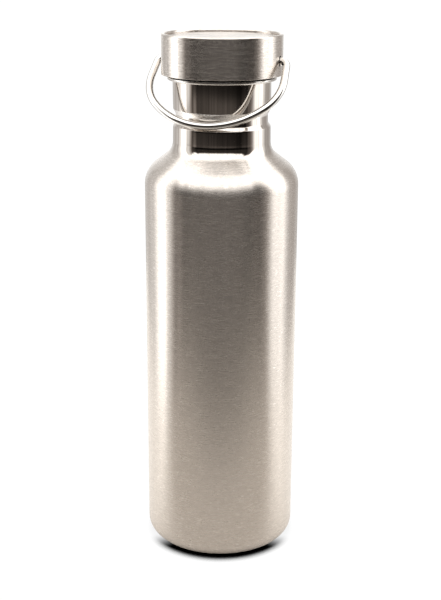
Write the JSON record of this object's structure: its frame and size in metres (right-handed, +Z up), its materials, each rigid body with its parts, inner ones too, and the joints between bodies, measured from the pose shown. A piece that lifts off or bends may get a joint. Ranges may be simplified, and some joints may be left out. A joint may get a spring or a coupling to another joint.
{
  "type": "water bottle",
  "caption": "Single-wall stainless steel drinking bottle with a brushed body, a polished neck, a screw-in steel lid and a swinging wire bail.",
  "frame": {"origin": "centre of the base, on the bottle's axis, at the level it stands on", "axes": "+Z up along the bottle's axis, front towards -Y"},
  "size_m": [0.074, 0.074, 0.2541],
  "materials": {
    "body_steel": "fine circumferential brushing; polished above the shoulder",
    "lid_steel": "fine circumferential brushing",
    "polished_steel": "mirror polished stainless steel",
    "core_plastic": "fine matt moulding",
    "seal_rubber": "soft matt silicone"
  },
  "bodies": {
    "bottle": {"body_shell": "body_steel", "base_plate": "body_steel", "mouth_ring": "polished_steel"},
    "seal": {"lid_gasket": "seal_rubber"},
    "lid": {"lid_band": "lid_steel", "lid_top_disc": "lid_steel", "lid_core": "core_plastic", "lid_liner": "polished_steel", "liner_seal": "seal_rubber", "pivot_bushing_right": "core_plastic", "pivot_bushing_left": "core_plastic"},
    "bail": {"bail": "polished_steel"}
  },
  "joints": [
    {"name": "lid_lift", "type": "slide", "parent": "bottle", "child": "seal", "axis": [0, 0, 1], "range_m": [0, 0.0102]},
    {"name": "lid_turn", "type": "hinge", "parent": "seal", "child": "lid", "pos_m": [0, 0, 0.2346], "axis": [0, 0, 1], "range_deg": [0, 810]},
    {"name": "bail_swing", "type": "hinge", "parent": "lid", "child": "bail", "pos_m": [0, 0, 0.2422], "axis": [-0.9415, 0.3371, 0], "range_deg": [0, 275.5]}
  ],
  "couplings": [
    {"joint": "lid_lift", "follows": "lid_turn", "m_per_rad": 0.0007162}
  ]
}
